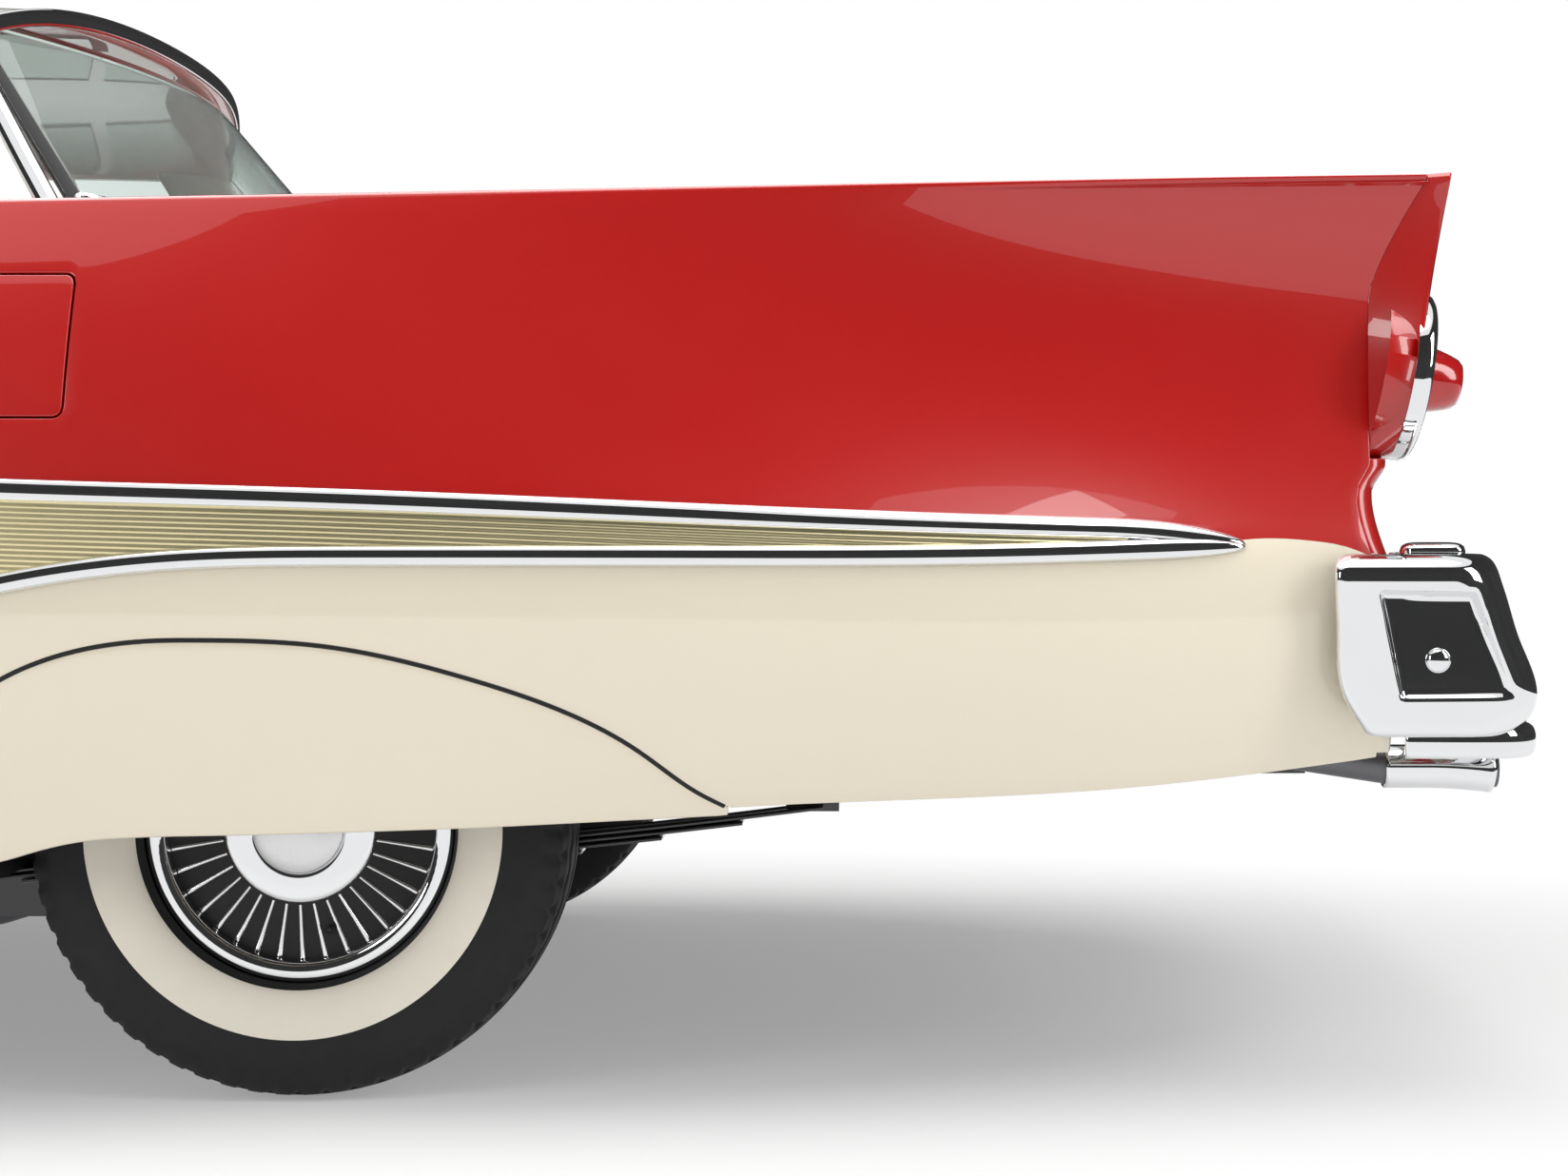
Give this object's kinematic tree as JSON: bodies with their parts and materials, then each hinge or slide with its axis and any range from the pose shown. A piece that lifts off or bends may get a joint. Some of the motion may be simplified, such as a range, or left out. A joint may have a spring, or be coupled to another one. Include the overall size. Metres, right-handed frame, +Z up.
{
  "type": "two-door hardtop car",
  "caption": "Late-1950s two-door hardtop car with canted tail fins, covered rear wheels and a long high deck; doors, hood, deck lid, fuel flap, wheels and steering move.",
  "frame": {"origin": "on the ground under the middle of the car's length and width", "axes": "+X to the tail, +Y to the car's right-hand side, +Z up"},
  "size_m": [5.3538, 1.9602, 1.4299],
  "materials": {
    "red_paint": "deep red gloss paint",
    "two_tone_paint": "gloss paint, red above the side spear and cream below it",
    "cream_paint": "cream gloss paint",
    "white_paint": "pale roof paint",
    "black_paint": "black chassis paint",
    "underbody": "dark floor paint",
    "engine_iron": "painted cast iron",
    "chrome": "bright plating",
    "aluminium": "bright pressed metal",
    "steel": "dark steel",
    "tinted_glass": "lightly tinted clear glass",
    "lamp_glass": "clear fluted lens",
    "red_lens": "red lens",
    "trim": "red and white seat covers",
    "dash": "painted dashboard",
    "wheel_rim": "cream rim",
    "tyre": "black rubber with a white band"
  },
  "bodies": {
    "body": {"chassis_frame": "black_paint", "floor_pan": "underbody", "engine": "engine_iron", "exhaust": "steel", "rear_axle": "black_paint", "leaf_springs": "black_paint", "front_fender_left": "two_tone_paint", "front_fender_right": "two_tone_paint", "rear_quarter_left": "two_tone_paint", "rear_quarter_right": "two_tone_paint", "wheel_skirts": "cream_paint", "cowl": "red_paint", "back_shelf": "red_paint", "tail_panel": "red_paint", "front_panel": "red_paint", "roof": "white_paint", "windshield_frame": "chrome", "windshield": "tinted_glass", "rear_window": "tinted_glass", "quarter_glass": "tinted_glass", "front_bumper": "chrome", "rear_bumper": "chrome", "grille": "aluminium", "headlamps": "lamp_glass", "tail_lamps": "red_lens", "tail_lamp_rims": "chrome", "front_seat": "trim", "rear_seat": "trim", "dashboard": "dash"},
    "door_left": {"door_left": "two_tone_paint", "door_glass_left": "tinted_glass"},
    "door_right": {"door_right": "two_tone_paint", "door_glass_right": "tinted_glass"},
    "hood": {"hood": "red_paint"},
    "deck_lid": {"deck_lid": "red_paint"},
    "fuel_door": {"fuel_door": "red_paint"},
    "steering_wheel": {"steering_wheel": "wheel_rim"},
    "knuckle_left": {"knuckle_left": "steel"},
    "knuckle_right": {"knuckle_right": "steel"},
    "wheel_front_left": {"tyre_front_left": "tyre", "wheel_front_left": "aluminium"},
    "wheel_front_right": {"tyre_front_right": "tyre", "wheel_front_right": "aluminium"},
    "wheel_rear_left": {"tyre_rear_left": "tyre", "wheel_rear_left": "aluminium"},
    "wheel_rear_right": {"tyre_rear_right": "tyre", "wheel_rear_right": "aluminium"}
  },
  "joints": [
    {"name": "steer_left", "type": "hinge", "parent": "body", "child": "knuckle_left", "pos_m": [-1.825, -0.6345, 0.335], "axis": [0, 0, 1], "range_deg": [-33, 33]},
    {"name": "steer_right", "type": "hinge", "parent": "body", "child": "knuckle_right", "pos_m": [-1.825, 0.6345, 0.335], "axis": [0, 0, 1], "range_deg": [-33, 33]},
    {"name": "steering_wheel_turn", "type": "hinge", "parent": "body", "child": "steering_wheel", "pos_m": [-0.495, -0.38, 0.895], "axis": [0.8829, 0, 0.4695], "range_deg": [-825, 825]},
    {"name": "wheel_front_left_spin", "type": "hinge", "parent": "knuckle_left", "child": "wheel_front_left", "pos_m": [-1.825, -0.7495, 0.335], "axis": [0, -1, 0], "continuous": true},
    {"name": "wheel_front_right_spin", "type": "hinge", "parent": "knuckle_right", "child": "wheel_front_right", "pos_m": [-1.825, 0.7495, 0.335], "axis": [0, -1, 0], "continuous": true},
    {"name": "wheel_rear_left_spin", "type": "hinge", "parent": "body", "child": "wheel_rear_left", "pos_m": [1.172, -0.7165, 0.335], "axis": [0, -1, 0], "continuous": true},
    {"name": "wheel_rear_right_spin", "type": "hinge", "parent": "body", "child": "wheel_rear_right", "pos_m": [1.172, 0.7165, 0.335], "axis": [0, -1, 0], "continuous": true},
    {"name": "door_left_hinge", "type": "hinge", "parent": "body", "child": "door_left", "pos_m": [-0.661, -0.957, 0.6], "axis": [0, 0, -1], "range_deg": [0, 65]},
    {"name": "door_right_hinge", "type": "hinge", "parent": "body", "child": "door_right", "pos_m": [-0.661, 0.957, 0.6], "axis": [0, 0, 1], "range_deg": [0, 65]},
    {"name": "hood_hinge", "type": "hinge", "parent": "body", "child": "hood", "pos_m": [-2.501, 0, 0.924], "axis": [0, -1, 0], "range_deg": [0, 50]},
    {"name": "deck_lid_hinge", "type": "hinge", "parent": "body", "child": "deck_lid", "pos_m": [2.498, 0, 1.058], "axis": [0, 1, 0], "range_deg": [0, 75]},
    {"name": "fuel_door_hinge", "type": "hinge", "parent": "body", "child": "fuel_door", "pos_m": [0.758, -0.92171, 0.9195], "axis": [0, -0.2939, -0.9558], "range_deg": [0, 90]}
  ],
  "couplings": [
    {"joint": "steer_right", "follows": "steer_left", "ratio": 1},
    {"joint": "steering_wheel_turn", "follows": "steer_left", "ratio": 25}
  ]
}
